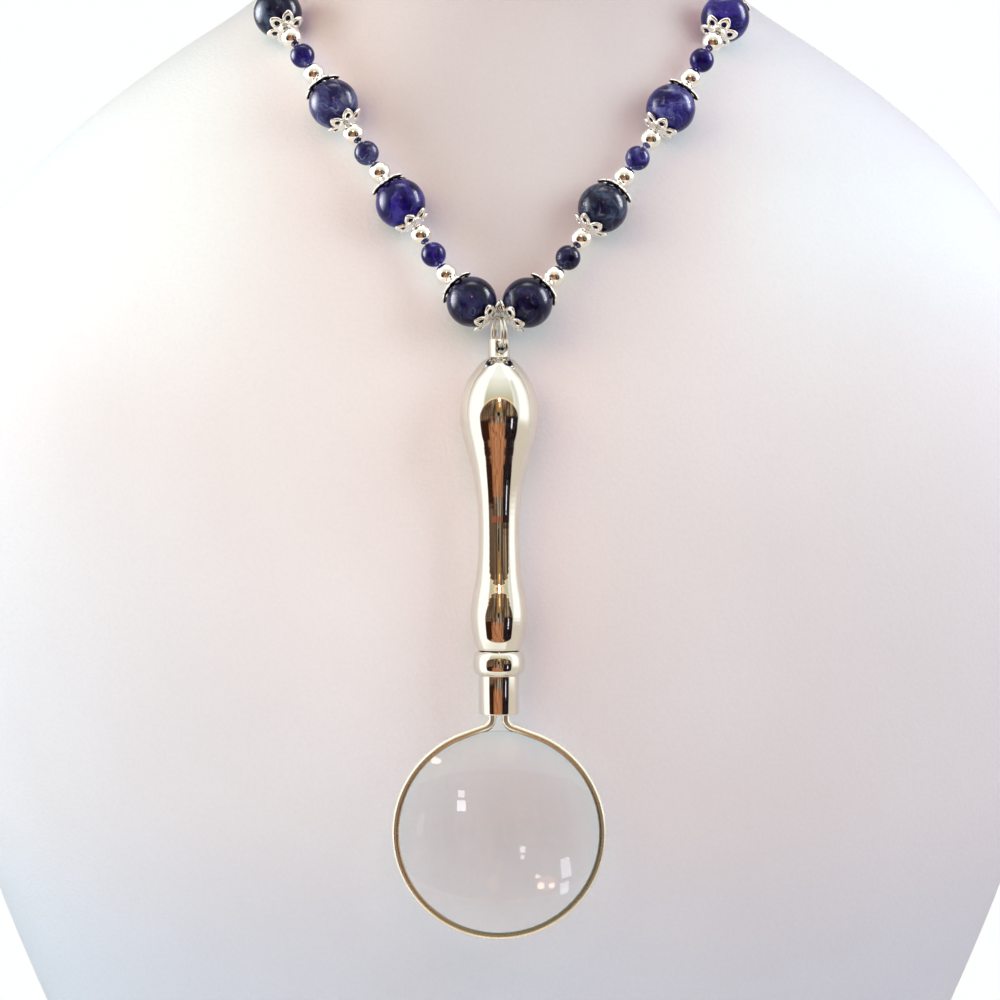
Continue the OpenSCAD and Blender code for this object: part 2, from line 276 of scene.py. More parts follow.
def frame_material():
    """Silver wire, scuffed pale outside, with painted reflection and shade on the inner half along the groove
    that holds the lens: brown at the upper left, dark olive at the lower right.
    """
    material, made, place = new_material("frame silver")
    reach, aside, above = from_lens(made, place)
    across = made.math("DIVIDE", made.math("SUBTRACT", reach, FRAME_WIDTH / 2 - FRAME_WIRE), FRAME_WIRE)
    # Painted reflection and shade on the wire's inner half: brown towards the upper left, dark olive towards
    # the lower right.
    slant = made.math("DIVIDE", made.math("SUBTRACT", aside, above), 40 * MM)
    lower_right = made.math("ADD", slant, 0.5, clamp=True)
    groove = made.mix(lower_right, (0.55, 0.37, 0.22), (0.17, 0.17, 0.12))
    smudge = made.noise(place, 300.0, 4.0, 0.6)
    pale = made.ramp(smudge, [(0.3, (0.97, 0.96, 0.84)), (0.75, (0.86, 0.84, 0.7))])
    share = made.ramp(across, [(0.3, (1, 1, 1)), (0.5, (0, 0, 0))])
    colour = made.mix(share, pale, groove)
    rough = made.add("ShaderNodeMapRange", {"Value": smudge, "From Min": 0.3, "From Max": 0.75,
                                            "To Min": 0.24, "To Max": 0.33}).outputs[0]
    surface(made, Base_Color=colour, Metallic=1.0, Roughness=rough)
    return material


def stone_material(name, deep, middle_tone, pale, veins):
    """Polished blue stone: dark and pale patches in the deep colour, and thin pale veins."""
    material, made, place = new_material(name)
    warp = made.add("ShaderNodeTexNoise", {"Vector": place, "Scale": 90.0, "Detail": 3.0}).outputs["Color"]
    bent = made.add("ShaderNodeMix", {0: 0.012, 4: place, 5: warp}, data_type="VECTOR").outputs[1]
    clouds = made.noise(bent, 190.0, 5.0, 0.6, 0.8)
    specks = made.noise(place, 1100.0, 3.0, 0.7)
    base = made.ramp(clouds, [(0.4, deep), (0.51, middle_tone), (0.64, pale)])
    base = made.mix(made.ramp(specks, [(0.45, (0, 0, 0)), (0.75, (0.6, 0.6, 0.6))]), base, deep)
    streaks = made.noise(bent, 95.0, 2.0, 0.5, 1.2)
    ridge = made.math("ABSOLUTE", made.math("SUBTRACT", streaks, 0.5))
    vein = made.ramp(ridge, [(0.0, (1, 1, 1)), (0.03, (0, 0, 0))])
    thin = made.noise(place, 260.0, 4.0, 0.7)
    broken = made.ramp(thin, [(0.45, (0, 0, 0)), (0.62, (1, 1, 1))])
    share = made.math("MULTIPLY", made.math("MULTIPLY", vein, broken), veins)
    colour = made.mix(share, base, (0.3, 0.32, 0.42))
    shine = made.ramp(thin, [(0.4, (0.14, 0.14, 0.14)), (0.7, (0.22, 0.22, 0.22))])
    surface(made, Base_Color=colour, Roughness=shine, Specular_IOR_Level=0.2)
    return material


def thread_material():
    material, made, place = new_material("beading thread")
    twist = made.add("ShaderNodeTexWave", {"Vector": place, "Scale": 900.0, "Distortion": 1.0}).outputs["Fac"]
    colour = made.mix(twist, (0.62, 0.62, 0.6), (0.8, 0.8, 0.78))
    surface(made, Base_Color=colour, Roughness=0.45, Normal=made.bump(twist, 0.02 * MM))
    return material


def glass_material():
    """Clear glass, tinted with painted shade in the middle and painted cool light at the rim and below the
    middle. Light that casts shadows passes straight through it.
    """
    material, made, place = new_material("lens glass")
    reach, _, above = from_lens(made, place)
    # Painted shade: darker and warmer in the middle, where the shaded bust shows through; painted cool light
    # towards the rim.
    colour = made.ramp(made.math("DIVIDE", reach, LENS_RADIUS), [
        (0.0, (0.87, 0.83, 0.81)), (0.45, (0.91, 0.885, 0.875)), (0.8, (0.98, 0.975, 0.975)),
        (0.88, (0.97, 0.985, 0.985)), (0.93, (0.93, 1.0, 1.0))])
    # Painted cool light below the lens's middle.
    low = made.math("MULTIPLY", above, -0.9 / LENS_RADIUS, clamp=True)
    colour = made.mix(low, colour, (0.99, 1.0, 1.0))
    shader, output = surface(made, Base_Color=colour, Roughness=0.015, IOR=1.5, Transmission_Weight=1.0)
    clear = made.add("ShaderNodeBsdfTransparent", {"Color": (0.97, 0.985, 0.985, 1)}).outputs[0]
    path = made.add("ShaderNodeLightPath")
    through = made.math("MAXIMUM", path.outputs["Is Shadow Ray"], path.outputs["Is Diffuse Ray"])
    mixed = made.add("ShaderNodeMixShader", {0: through, 1: shader.outputs[0], 2: clear}).outputs[0]
    made.put(output.inputs["Surface"], mixed)
    return material


def floor_material():
    material, made, place = new_material("pale floor")
    tone = made.noise(place, 6.0, 3.0)
    colour = made.ramp(tone, [(0.3, (0.86, 0.865, 0.87)), (0.7, (0.88, 0.885, 0.89))])
    surface(made, Base_Color=colour, Roughness=0.6)
    return material


LEATHER = leather_material()
SILVER = silver_material("polished silver", 0.045)
BEAD_SILVER = silver_material("bead silver", 0.09, (0.95, 0.93, 0.87))
CAP_SILVER = silver_material("cap silver", 0.16, (0.96, 0.94, 0.88), tarnished_and_shaded=True)
FRAME_SILVER = frame_material()
THREAD = thread_material()
GLASS = glass_material()

# Each stone's deep, middle and pale colour, and how much its veins show.
STONE_TONES = {
    "navy": ((0.002, 0.001, 0.012), (0.01, 0.008, 0.045), (0.035, 0.035, 0.1), 0.25),
    "violet": ((0.004, 0.001, 0.055), (0.014, 0.006, 0.13), (0.05, 0.035, 0.28), 0.25),
    "lapis": ((0.006, 0.002, 0.06), (0.03, 0.024, 0.17), (0.13, 0.14, 0.36), 0.7),
    "slate": ((0.008, 0.005, 0.06), (0.035, 0.034, 0.12), (0.11, 0.12, 0.26), 0.7),
    "grey blue": ((0.004, 0.004, 0.02), (0.02, 0.024, 0.055), (0.07, 0.095, 0.15), 0.4)}
STONES = {name: stone_material(f"{name} stone", *tones) for name, tones in STONE_TONES.items()}

# Tones of the stones on each side, from the lowest, as the string shows them.
LARGE_TONES = {"right": ["navy", "grey blue", "lapis", "violet"],
               "left": ["navy", "violet", "slate", "grey blue"]}
SMALL_TONES = {"right": ["navy", "lapis", "violet"], "left": ["violet", "slate", "violet"]}


def set_material(name, material):
    for slot in nodes[name].material_slots:
        slot.material = material


def dress_nodes():
    """Better materials on the CAD nodes that stay."""
    for side in SIDES:
        set_material(f"silver_beads_{side}", BEAD_SILVER)
        for size, tones in (("large", LARGE_TONES[side]), ("small", SMALL_TONES[side])):
            for i in range(REPEATS):
                set_material(f"{size}_stone_{side}_{i + 1}", STONES[tones[i % len(tones)]])
    for name in ("clasp", "jump_ring_front", "jump_ring_back"):
        set_material(name, SILVER)
    set_material("lens_frame", FRAME_SILVER)
    set_material("thread", THREAD)


# Smooth shapes through the CAD's corners

LEVEL_GAP = 0.01 * MM


def band_faces(rows, around):
    """Faces between neighbouring closed rows of points, from the lowest."""
    return [(i * around + k, i * around + (k + 1) % around, (i + 1) * around + (k + 1) % around,
             (i + 1) * around + k) for i in range(rows - 1) for k in range(around)]


def through_points(p0, p1, p2, p3, u):
    """A curve from p1 to p2 that passes through every point of a row."""
    return (p1 + (p2 - p0) * u / 2 + (2 * p0 - 5 * p1 + 4 * p2 - p3) * u * u / 2
            + (3 * (p1 - p2) + p3 - p0) * u ** 3 / 2)


def through_rows(rows, steps):
    """Rows on a smooth curve through the given ones, which stay, with others between them."""
    padded = [2 * rows[0] - rows[1], *rows, 2 * rows[-1] - rows[-2]]
    smooth = [through_points(*padded[i - 1:i + 3], k / steps)
              for i in range(1, len(padded) - 2) for k in range(steps)]
    return smooth + [rows[-1]]


def from_axis(points):
    """Distances of points from the pendant's upright axis."""
    return np.hypot(points[:, 0] - LENS_MIDDLE.x, points[:, 1] - LENS_MIDDLE.y)


def radii_at(points, level):
    """Distances from the pendant's axis of the points at a level."""
    return from_axis(points[np.abs(points[:, 2] - level) < LEVEL_GAP])


# The bust's skin

SKIN_AROUND = 4
SKIN_UP = 3
LID_RINGS = (0.9, 0.6, 0.3)


def ring_rows(points):
    """A skinned CAD solid's rings of corners, from the lowest, each in the order round the middle."""
    points = np.unique(np.round(points, 6), axis=0)
    rows = []
    for level in np.unique(np.round(points[:, 2], 5)):
        ring = points[np.abs(points[:, 2] - level) < 2e-5]
        rows.append(ring[np.argsort(np.arctan2(ring[:, 1], ring[:, 0]))])
    return rows


def smooth_rows(rows):
    """The rings with more points round each, and more rings between them."""
    around = []
    for ring in rows:
        before, after, next_one = np.roll(ring, 1, 0), np.roll(ring, -1, 0), np.roll(ring, -2, 0)
        steps = [through_points(before, ring, after, next_one, k / SKIN_AROUND) for k in range(SKIN_AROUND)]
        around.append(np.stack(steps, 1).reshape(-1, 3))
    return through_rows(around, SKIN_UP)


def bust_skin():
    """The bust as one smooth skin through the CAD bust's corners, with flat lids."""
    rows = smooth_rows(ring_rows(cad_points("bust")))
    count = len(rows[0])
    for share in LID_RINGS:
        rows.insert(0, rows[0] * (share, share, 1))
        rows.append(rows[-1] * (share, share, 1))
    points = np.concatenate(rows)
    faces = band_faces(len(rows), count)
    faces.append(tuple(reversed(range(count))))
    faces.append(tuple(range((len(rows) - 1) * count, len(rows) * count)))
    skin = add_object("bust_skin", points, faces, LEATHER, "necklace")
    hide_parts("bust")


# The bead caps

PETALS = 6
CAP_R = 6.4 * MM
CAD_CAP_REACH = 1.15 * CAP_R
CAP_WALL = 0.85 * MM
CAP_FLARE = 0.65 * MM
CAP_SINK = 0.35 * MM
CAP_TURN = 25
# Distances from the cap's middle in mm, between which its sunk middle rises and its petals flare.
RISE_FROM, RISE_TO = 1.5, 2.4
FLARE_FROM, FLARE_TO = 1.2, 5.0

# A sixth of the cap, laid flat: distance from the middle in mm, and angle from the petal's middle in degrees.
CAP_ANGLES = (-30, -15, 0, 15)
CAP_RING = [(0.6, a) for a in CAP_ANGLES]
CAP_COLLAR = [(1.5, a) for a in CAP_ANGLES]
PETAL_HOLE = [(2.3, 0), (2.5, 10), (2.98, 12), (3.45, 8), (3.65, 0), (3.45, -8), (2.98, -12), (2.5, -10)]
PETAL_EDGE = [(2.9, 30), (3.7, 26), (4.4, 15), (5.3, 0), (4.4, -15), (3.7, -26)]


def dome(radius):
    """The dome's distance from the stone's middle: sunk where the jump rings pass, flared at the petals."""
    flare = np.maximum(0.0, radius - FLARE_FROM) / (FLARE_TO - FLARE_FROM)
    sink = np.clip((RISE_TO - radius) / (RISE_TO - RISE_FROM), 0.0, 1.0)
    return CAP_R + CAP_FLARE * flare ** 1.5 - CAP_SINK * sink


def on_cap(radius, angle):
    """A flat place in mm and degrees, bent onto the cap's dome round the stone's middle."""
    bend = radius * MM / CAP_R
    turn = math.radians(angle)
    aside = dome(radius) * math.sin(bend)
    return (aside * math.cos(turn), aside * math.sin(turn), dome(radius) * math.cos(bend))


def cap_mesh():
    """One pierced cap: a ring of petals, each round a hole, as one thick skin with rounded edges."""
    flat = CAP_RING + CAP_COLLAR + PETAL_HOLE + PETAL_EDGE
    points = [on_cap(r, a + k * 360 / PETALS) for k in range(PETALS) for r, a in flat]
    faces = []
    in_ring = len(CAP_RING)
    starts = {"ring": 0, "collar": in_ring, "hole": 2 * in_ring, "edge": 2 * in_ring + len(PETAL_HOLE)}

    def at(k, row, i):
        """A point's number. A row ends on the next petal's first point, an edge on the one before's."""
        if row in ("ring", "collar") and i == in_ring:
            k, i = k + 1, 0
        if row == "edge" and i == len(PETAL_EDGE):
            k, i = k - 1, 0
        return (k % PETALS) * len(flat) + starts[row] + i

    for k in range(PETALS):
        faces += [(at(k, "ring", i), at(k, "collar", i), at(k, "collar", i + 1), at(k, "ring", i + 1))
                  for i in range(in_ring)]
        faces += [
            (at(k, "collar", 2), at(k, "hole", 0), at(k, "hole", 1), at(k, "collar", 3)),
            (at(k, "collar", 3), at(k, "hole", 1), at(k, "edge", 0), at(k, "collar", 4)),
            (at(k, "hole", 1), at(k, "hole", 2), at(k, "edge", 1), at(k, "edge", 0)),
            (at(k, "hole", 2), at(k, "hole", 3), at(k, "edge", 2), at(k, "edge", 1)),
            (at(k, "hole", 3), at(k, "hole", 4), at(k, "edge", 3), at(k, "edge", 2)),
            (at(k, "hole", 4), at(k, "hole", 5), at(k, "edge", 4), at(k, "edge", 3)),
            (at(k, "hole", 5), at(k, "hole", 6), at(k, "edge", 5), at(k, "edge", 4)),
            (at(k, "hole", 6), at(k, "hole", 7), at(k, "edge", 6), at(k, "edge", 5)),
            (at(k, "hole", 7), at(k, "collar", 1), at(k, "collar", 0), at(k, "edge", 6)),
            (at(k, "hole", 7), at(k, "hole", 0), at(k, "collar", 2), at(k, "collar", 1))]
    piece = plain_object("cap", points, faces)
    thick = piece.modifiers.new("thick", "SOLIDIFY")
    thick.thickness = CAP_WALL
    thick.offset = 0
    rounded = piece.modifiers.new("rounded", "SUBSURF")
    rounded.levels = rounded.render_levels = 2
    made = evaluated_mesh(piece)
    bpy.data.objects.remove(piece)
    return made


def bead_caps():
    """A cap at both ends of each large stone, on the CAD caps' axis, with tarnish and painted shade on the
    side that faces the stone.
    """
    mesh = cap_mesh()
    count = len(mesh.vertices)
    local = np.empty(count * 3)
    mesh.vertices.foreach_get("co", local)
    local = local.reshape(-1, 3)
    polygons = [tuple(p.vertices) for p in mesh.polygons]
    radius = np.arctan2(np.hypot(local[:, 0], local[:, 1]), local[:, 2]) * CAP_R / MM
    # Tarnish and painted shade: the cap's inner face, towards the stone, goes near black, where shade falls
    # between cap and stone.
    depth = (dome(radius) - np.linalg.norm(local, axis=1)) / (CAP_WALL / 2)
    tarnish_and_shade = np.clip(0.35 + 1.5 * depth, 0, 1)
    for side in SIDES:
        cad = cad_points(f"bead_caps_{side}")
        points = []
        faces = []
        for i in range(1, REPEATS + 1):
            stone = np.array(middle(f"large_stone_{side}_{i}"))
            near = cad[np.linalg.norm(cad - stone, axis=1) < CAD_CAP_REACH] - stone
            axis = Vector(np.linalg.svd(near, full_matrices=False)[2][0])
            for end in (1, -1):
                turn = (axis * end).to_track_quat("Z", "Y").to_matrix() @ Matrix.Rotation(
                    math.radians(CAP_TURN * i * end), 3, "Z")
                faces += [tuple(v + len(points) * count for v in p) for p in polygons]
                points.append(local @ np.array(turn).T + stone)
        piece = add_object(f"filigree_caps_{side}", np.concatenate(points), faces, CAP_SILVER, "necklace")
        dark = piece.data.attributes.new(TARNISH_AND_SHADE, "FLOAT", "POINT")
        dark.data.foreach_set("value", np.tile(tarnish_and_shade, len(points)))
        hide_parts(f"bead_caps_{side}")


# The handle

TURNED_ROUND = 128
# How far a bevel's middle point stands from the corner, as a share of the bevel.
BEVEL_SHARE = 0.3
HANDLE_STEPS = 4
POST_BEVEL = 0.22 * MM
POST_FOOT = 0.4 * MM
# A level of the CAD handle belongs to its outline if it has a full ring of corners that is wide enough. The
# handle is slimmer near the eye, where narrower rings are the eye post's.
RING_CORNERS = 20
NEAR_EYE = 30 * MM
NARROWEST_NEAR_EYE = 2.65 * MM
NARROWEST = 4 * MM
EYE_TURN = 18
EYE_R = 1.5 * MM
BORE_HALF = 4 * MM
BORE_ROUND = 64


def turned(profile, around, centre):
    """Points and faces of a shape turned about a vertical axis, closed at both ends on the axis."""
    points = []
    for radius, z in profile[1:-1]:
        points += [(centre[0] + radius * math.cos(2 * math.pi * k / around),
                    centre[1] + radius * math.sin(2 * math.pi * k / around), z) for k in range(around)]
    rows = len(profile) - 2
    bottom, top = len(points), len(points) + 1
    points += [(centre[0], centre[1], profile[0][1]), (centre[0], centre[1], profile[-1][1])]
    faces = band_faces(rows, around)
    faces += [(bottom, (k + 1) % around, k) for k in range(around)]
    last = (rows - 1) * around
    faces += [(top, last + k, last + (k + 1) % around) for k in range(around)]
    return points, faces


def cut(piece, cutter):
    """Cuts one solid out of another."""
    hole = piece.modifiers.new("hole", "BOOLEAN")
    hole.object = cutter
    hole.solver = "EXACT"
    pierced = evaluated_mesh(piece)
    piece.modifiers.clear()
    piece.data = pierced
    bpy.data.objects.remove(cutter)


def handle():
    """The turned handle as a smooth curve through the CAD handle's profile, with its bored eye post."""
    cad = cad_points("handle")
    eye = next(Vector(joint["pos_m"]) for joint in frame["joints"] if joint["name"] == "sway")
    outline = []
    for level in np.unique(np.round(cad[:, 2], 5)):
        ring = radii_at(cad, level)
        narrowest = NARROWEST_NEAR_EYE if level > eye.z - NEAR_EYE else NARROWEST
        if len(ring) > RING_CORNERS and ring.max() > narrowest:
            outline.append(np.array((ring.max(), level)))
    side = through_rows(outline, HANDLE_STEPS)
    top = cad[:, 2].max()
    post = radii_at(cad, top).max()
    profile = [(0, side[0][1])] + [tuple(p) for p in side]
    profile += [(post + POST_BEVEL, outline[-1][1] + POST_FOOT), (post + POST_BEVEL, top - POST_BEVEL),
                (post + (1 - BEVEL_SHARE) * POST_BEVEL, top - BEVEL_SHARE * POST_BEVEL), (post, top),
                (0, top)]
    points, faces = turned(profile, TURNED_ROUND, LENS_MIDDLE.xy)
    piece = add_object("turned_handle", points, faces, SILVER, "magnifier")
    bore = [(0, -BORE_HALF), (EYE_R, -BORE_HALF), (EYE_R, BORE_HALF), (0, BORE_HALF)]
    cutter = plain_object("bore", *turned(bore, BORE_ROUND, (0, 0)))
    cutter.matrix_world = (Matrix.Translation(eye) @ Matrix.Rotation(math.radians(EYE_TURN), 4, "Z")
                           @ Matrix.Rotation(math.radians(90), 4, "X"))
    cut(piece, cutter)
    shade_smooth(piece)
    sharp_edges(piece, 40)
    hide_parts("handle")


# The ferrule

SLEEVE_BEVEL = 0.4 * MM
COLLAR_BULGE = 1.95 * MM
COLLAR_POWER = 2.6
COLLAR_STEPS = 24
COLLAR_GAP = 0.1 * MM


def ferrule():
    """Sleeve and softly rounded collar, turned in one piece."""
    cad = cad_points("ferrule")
    radii = from_axis(cad)
    bottom = cad[:, 2].min()
    collar = radii.max()
    collar_z = cad[radii > collar - 0.01 * MM][:, 2].mean()
    sleeve = radii_at(cad, bottom).max() + SLEEVE_BEVEL
    collar_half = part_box("handle")[0].z - COLLAR_GAP - collar_z
    profile = [(0, bottom), (sleeve - SLEEVE_BEVEL, bottom),
               (sleeve - BEVEL_SHARE * SLEEVE_BEVEL, bottom + BEVEL_SHARE * SLEEVE_BEVEL),
               (sleeve, bottom + SLEEVE_BEVEL), (sleeve, collar_z - collar_half)]
    for i in range(COLLAR_STEPS + 1):
        turn = math.pi * (i / COLLAR_STEPS - 0.5)
        out = abs(math.cos(turn)) ** (2 / COLLAR_POWER)
        up = math.copysign(abs(math.sin(turn)) ** (2 / COLLAR_POWER), turn)
        radius = collar - COLLAR_BULGE + COLLAR_BULGE * out
        if radius > sleeve or turn > 0:
            profile.append((radius, collar_z + collar_half * up))
    profile.append((0, collar_z + collar_half))
    points, faces = turned(profile, TURNED_ROUND, LENS_MIDDLE.xy)
    piece = add_object("turned_ferrule", points, faces, SILVER, "magnifier")
    sharp_edges(piece, 40)
    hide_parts("ferrule")


# The lens

LENS_ROUND = 128
LENS_RINGS = 24


def lens_glass():
    """The lens with smooth spherical faces, turned about its own axis along Y."""
    low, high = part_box("lens")
    radius = (high.x - low.x) / 2
    half = (high.y - low.y) / 2
    cad = cad_points("lens") - np.array(LENS_MIDDLE)
    rim = cad[np.hypot(cad[:, 0], cad[:, 2]) > radius - 0.01 * MM]
    edge = np.abs(rim[:, 1]).max()
    sag = half - edge
    ball = (radius ** 2 + sag ** 2) / (2 * sag)
    points = []
    turns = [2 * math.pi * k / LENS_ROUND for k in range(LENS_ROUND)]
    for face in (-1, 1):
        points.append((0, face * half, 0))
        for i in range(1, LENS_RINGS + 1):
            r = radius * i / LENS_RINGS
            y = face * (half - ball + math.sqrt(ball ** 2 - r ** 2))
            points += [(r * math.cos(turn), y, r * math.sin(turn)) for turn in turns]
    per_face = 1 + LENS_RINGS * LENS_ROUND
    faces = []
    for side in (0, 1):
        start = side * per_face

        def at(i, k):
            return start + 1 + (i - 1) * LENS_ROUND + k % LENS_ROUND

        fans = [(start, at(1, k), at(1, k + 1)) for k in range(LENS_ROUND)]
        fans += [(at(i, k), at(i + 1, k), at(i + 1, k + 1), at(i, k + 1))
                 for i in range(1, LENS_RINGS) for k in range(LENS_ROUND)]
        faces += fans if side == 0 else [tuple(reversed(f)) for f in fans]
    last = 1 + (LENS_RINGS - 1) * LENS_ROUND
    faces += [(last + (k + 1) % LENS_ROUND, last + k, per_face + last + k,
               per_face + last + (k + 1) % LENS_ROUND) for k in range(LENS_ROUND)]
    piece = add_object("lens_glass", np.array(points) + np.array(LENS_MIDDLE), faces, GLASS, "magnifier")
    sharp_edges(piece, 30)
    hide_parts("lens")


# Surroundings

def floor():
    """A pale board under the bust. Silver and glass don't reflect it: the studio is pale there too."""
    left, front, right, back = -0.35, -0.35, 0.35, 0.145
    corners = [(left, front, 0), (right, front, 0), (right, back, 0), (left, back, 0)]
    piece = plain_object("floor", corners, [(0, 1, 2, 3)])
    piece.data.materials.append(floor_material())
    unreflected(piece)


class Sky:
    """Shapes drawn on the surroundings by azimuth and elevation in degrees, from straight in front."""

    def __init__(self, made):
        self.made = made
        self.way = made.add("ShaderNodeTexCoord").outputs["Generated"]
        x, y, z = made.add("ShaderNodeSeparateXYZ", {0: self.way}).outputs
        ahead = made.math("MULTIPLY", y, -1.0)
        self.az = made.math("MULTIPLY", made.math("ARCTAN2", x, ahead), 180 / math.pi)
        self.el = made.math("MULTIPLY", made.math("ARCSINE", z), 180 / math.pi)

    def far(self, az, el, az_half, el_half):
        """How far a direction is from a place, 1 on an ellipse round it."""
        made = self.made
        u = made.math("DIVIDE", made.math("SUBTRACT", self.az, az), az_half)
        v = made.math("DIVIDE", made.math("SUBTRACT", self.el, el), el_half)
        return made.length(u, v)

    def spot(self, az, el, az_half, el_half, edge=0.3):
        return self.made.fade(self.far(az, el, az_half, el_half), 1.0, 1.0 - edge)

    def box(self, az_from, az_to, el_from, el_to, soft=1.5):
        made = self.made
        inside = [made.fade(value, edge - way * soft, edge + way * soft) for value, edge, way in (
            (self.az, az_from, 1), (self.az, az_to, -1), (self.el, el_from, 1), (self.el, el_to, -1))]
        return made.math("MULTIPLY", made.math("MULTIPLY", inside[0], inside[1]),
                         made.math("MULTIPLY", inside[2], inside[3]))


def studio_walls(sky):
    """Pale walls: yellowish at the floor, greyer at the sides, olive over the opening."""
    made = sky.made
    height = made.math("DIVIDE", made.math("ADD", sky.el, 90.0), 180.0)
    pale = made.ramp(height, [(0.22, (0.9, 0.87, 0.76)), (0.34, (1.35, 1.35, 1.35)), (1.0, (1.4, 1.4, 1.42))])
    aside = made.math("ABSOLUTE", sky.az)
    pale = made.mix(made.fade(aside, 86, 114), pale, (0.6, 0.53, 0.46))
    pale = made.mix(sky.box(40, 140, -90, -8, 6.0), pale, (0.78, 0.71, 0.62))
    pale = made.mix(sky.box(48, 63, -12, 50, 5.0), pale, (0.88, 0.89, 0.83))
    crown = made.ramp(height, [
        (0.6, (0.61, 0.59, 0.44)), (0.7, (0.82, 0.83, 0.7)), (0.85, (1.15, 1.18, 1.17))])
    return made.mix(sky.box(-46, 46, 0, 200, 5.0), pale, crown)


def dim_room(sky):
    """The brown room in front: streaked walls, a shelf, warm wood low down, a narrow window and a lamp."""
    made = sky.made
    streaky = made.add("ShaderNodeMapping", {"Vector": sky.way, "Scale": (1.0, 1.0, 0.12)}).outputs[0]
    streaks = made.noise(streaky, 16.0, 4.0, 0.65)
    clutter = made.noise(sky.way, 16.0, 4.0, 0.7)
    room = made.ramp(streaks, [
        (0.38, (0.06, 0.03, 0.02)), (0.5, (0.15, 0.09, 0.05)), (0.62, (0.45, 0.36, 0.26))])
    wall = made.ramp(streaks, [(0.4, (0.06, 0.032, 0.022)), (0.62, (0.26, 0.17, 0.11))])
    room = made.mix(sky.box(-60, -14, -12, 14, 6.0), room, wall)
    shelf = made.ramp(streaks, [(0.4, (0.16, 0.12, 0.08)), (0.6, (0.55, 0.5, 0.4))])
    room = made.mix(sky.box(-10, 12, -20, 3, 4.0), room, shelf)
    room = made.mix(sky.box(-8, 8, 3, 30, 4.0), room, (0.42, 0.24, 0.1))
    room = made.mix(sky.box(-70, -30, -90, -9, 1.5), room, (0.04, 0.014, 0.008))
    dim = made.ramp(clutter, [(0.45, (0.008, 0.004, 0.006)), (0.7, (0.07, 0.045, 0.05))])
    room = made.mix(sky.box(20, 70, -90, -3, 2.0), room, dim)
    wood = made.ramp(streaks, [(0.36, (0.26, 0.09, 0.045)), (0.62, (0.68, 0.31, 0.15))])
    low = made.math("MAXIMUM", sky.box(-40, 26, -90, -30, 2.0), sky.box(-31, 17, -90, -13, 2.0))
    room = made.mix(low, room, wood)
    red_wood = made.ramp(streaks, [(0.38, (0.26, 0.075, 0.04)), (0.62, (0.48, 0.17, 0.095))])
    room = made.mix(sky.box(-38, 20, -5.9, -4.3, 0.3), room, red_wood)
    room = made.mix(sky.spot(-1, 0, 4.5, 4.5), room, (0.012, 0.006, 0.006))
    room = made.mix(sky.box(37, 41, -17, -7, 0.4), room, (1.2, 1.25, 1.5))
    return made.mix(sky.spot(2.5, 14, 4, 5, 0.6), room, (1.5, 0.95, 0.45))


# The opening in degrees: half its width, the elevations between which its sides are upright, and how far it
# rounds off above and below them.
OPENING_HALF = 58.0
UPRIGHT_FROM, UPRIGHT_TO = -24.0, -7.0
ROUND_ABOVE, ROUND_BELOW = 30.0, 15.0


def from_opening(sky):
    """How far a direction is from the middle of the opening, 1 on its edge."""
    made = sky.made
    above = made.math("MAXIMUM", made.math("SUBTRACT", sky.el, UPRIGHT_TO), 0.0)
    below = made.math("MAXIMUM", made.math("SUBTRACT", UPRIGHT_FROM, sky.el), 0.0)
    parts = [made.math("POWER", made.math("DIVIDE", made.math("ABSOLUTE", value), reach), 2.0)
             for value, reach in ((sky.az, OPENING_HALF), (above, ROUND_ABOVE), (below, ROUND_BELOW))]
    return made.math("SQRT", made.math("ADD", made.math("ADD", parts[0], parts[1]), parts[2]))


def world():
    """A pale studio that opens in front onto a dim brown room. Silver, stones and glass reflect it."""
    surroundings = bpy.data.worlds.new("studio")
    scene.world = surroundings
    surroundings.cycles.sampling_method = "NONE"
    made = Nodes(surroundings)
    sky = Sky(made)
    pale = studio_walls(sky)
    room = dim_room(sky)
    edge = from_opening(sky)
    opening = made.fade(edge, 1.03, 0.97)
    rim = made.math("MULTIPLY", made.fade(edge, 0.97, 1.0), made.fade(edge, 1.05, 1.02))
    rim = made.math("MULTIPLY", rim, made.fade(sky.el, 8.0, 18.0))
    colour = made.mix(opening, pale, room)
    colour = made.mix(rim, colour, (1.3, 0.9, 0.5))
    colour = made.mix(sky.spot(1.5, 22, 5, 6, 0.6), colour, (0.75, 0.36, 0.1))
    reflected = made.add("ShaderNodeBackground", {"Color": colour}).outputs[0]
    behind_glass = made.mix(opening, pale, (0.4, 0.37, 0.35))
    refracted = made.add("ShaderNodeBackground", {"Color": behind_glass}).outputs[0]
    path = made.add("ShaderNodeLightPath")
    plain = made.mix(path.outputs["Is Camera Ray"], (0.15, 0.15, 0.15), (0.99, 1.0, 1.0))
    plain = made.add("ShaderNodeBackground", {"Color": plain}).outputs[0]
    for chosen, light in (("Is Transmission Ray", refracted), ("Is Glossy Ray", reflected)):
        plain = made.add("ShaderNodeMixShader", {0: path.outputs[chosen], 1: plain, 2: light}).outputs[0]
    made.add("ShaderNodeOutputWorld", {"Surface": plain})


def area_light(name, place, target, width, height, power, colour):
    light = bpy.data.lights.new(name, "AREA")
    light.shape = "RECTANGLE"
    light.size = width
    light.size_y = height
    light.energy = power
    light.color = colour
    piece = bpy.data.objects.new(name, light)
    scene.collection.objects.link(piece)
    piece.location = place
    piece.rotation_euler = (Vector(place) - Vector(target)).to_track_quat("Z", "Y").to_euler()
    piece.visible_camera = False
    return piece


def group(name, pieces):
    made = bpy.data.collections.new(name)
    for piece in pieces:
        made.objects.link(piece)
    return made


LIGHTS_AIM = (0, -0.06, 0.2)
GLOW_Y = -0.14
GLOW_WIDTH, GLOW_HEIGHT = 0.03, 0.06


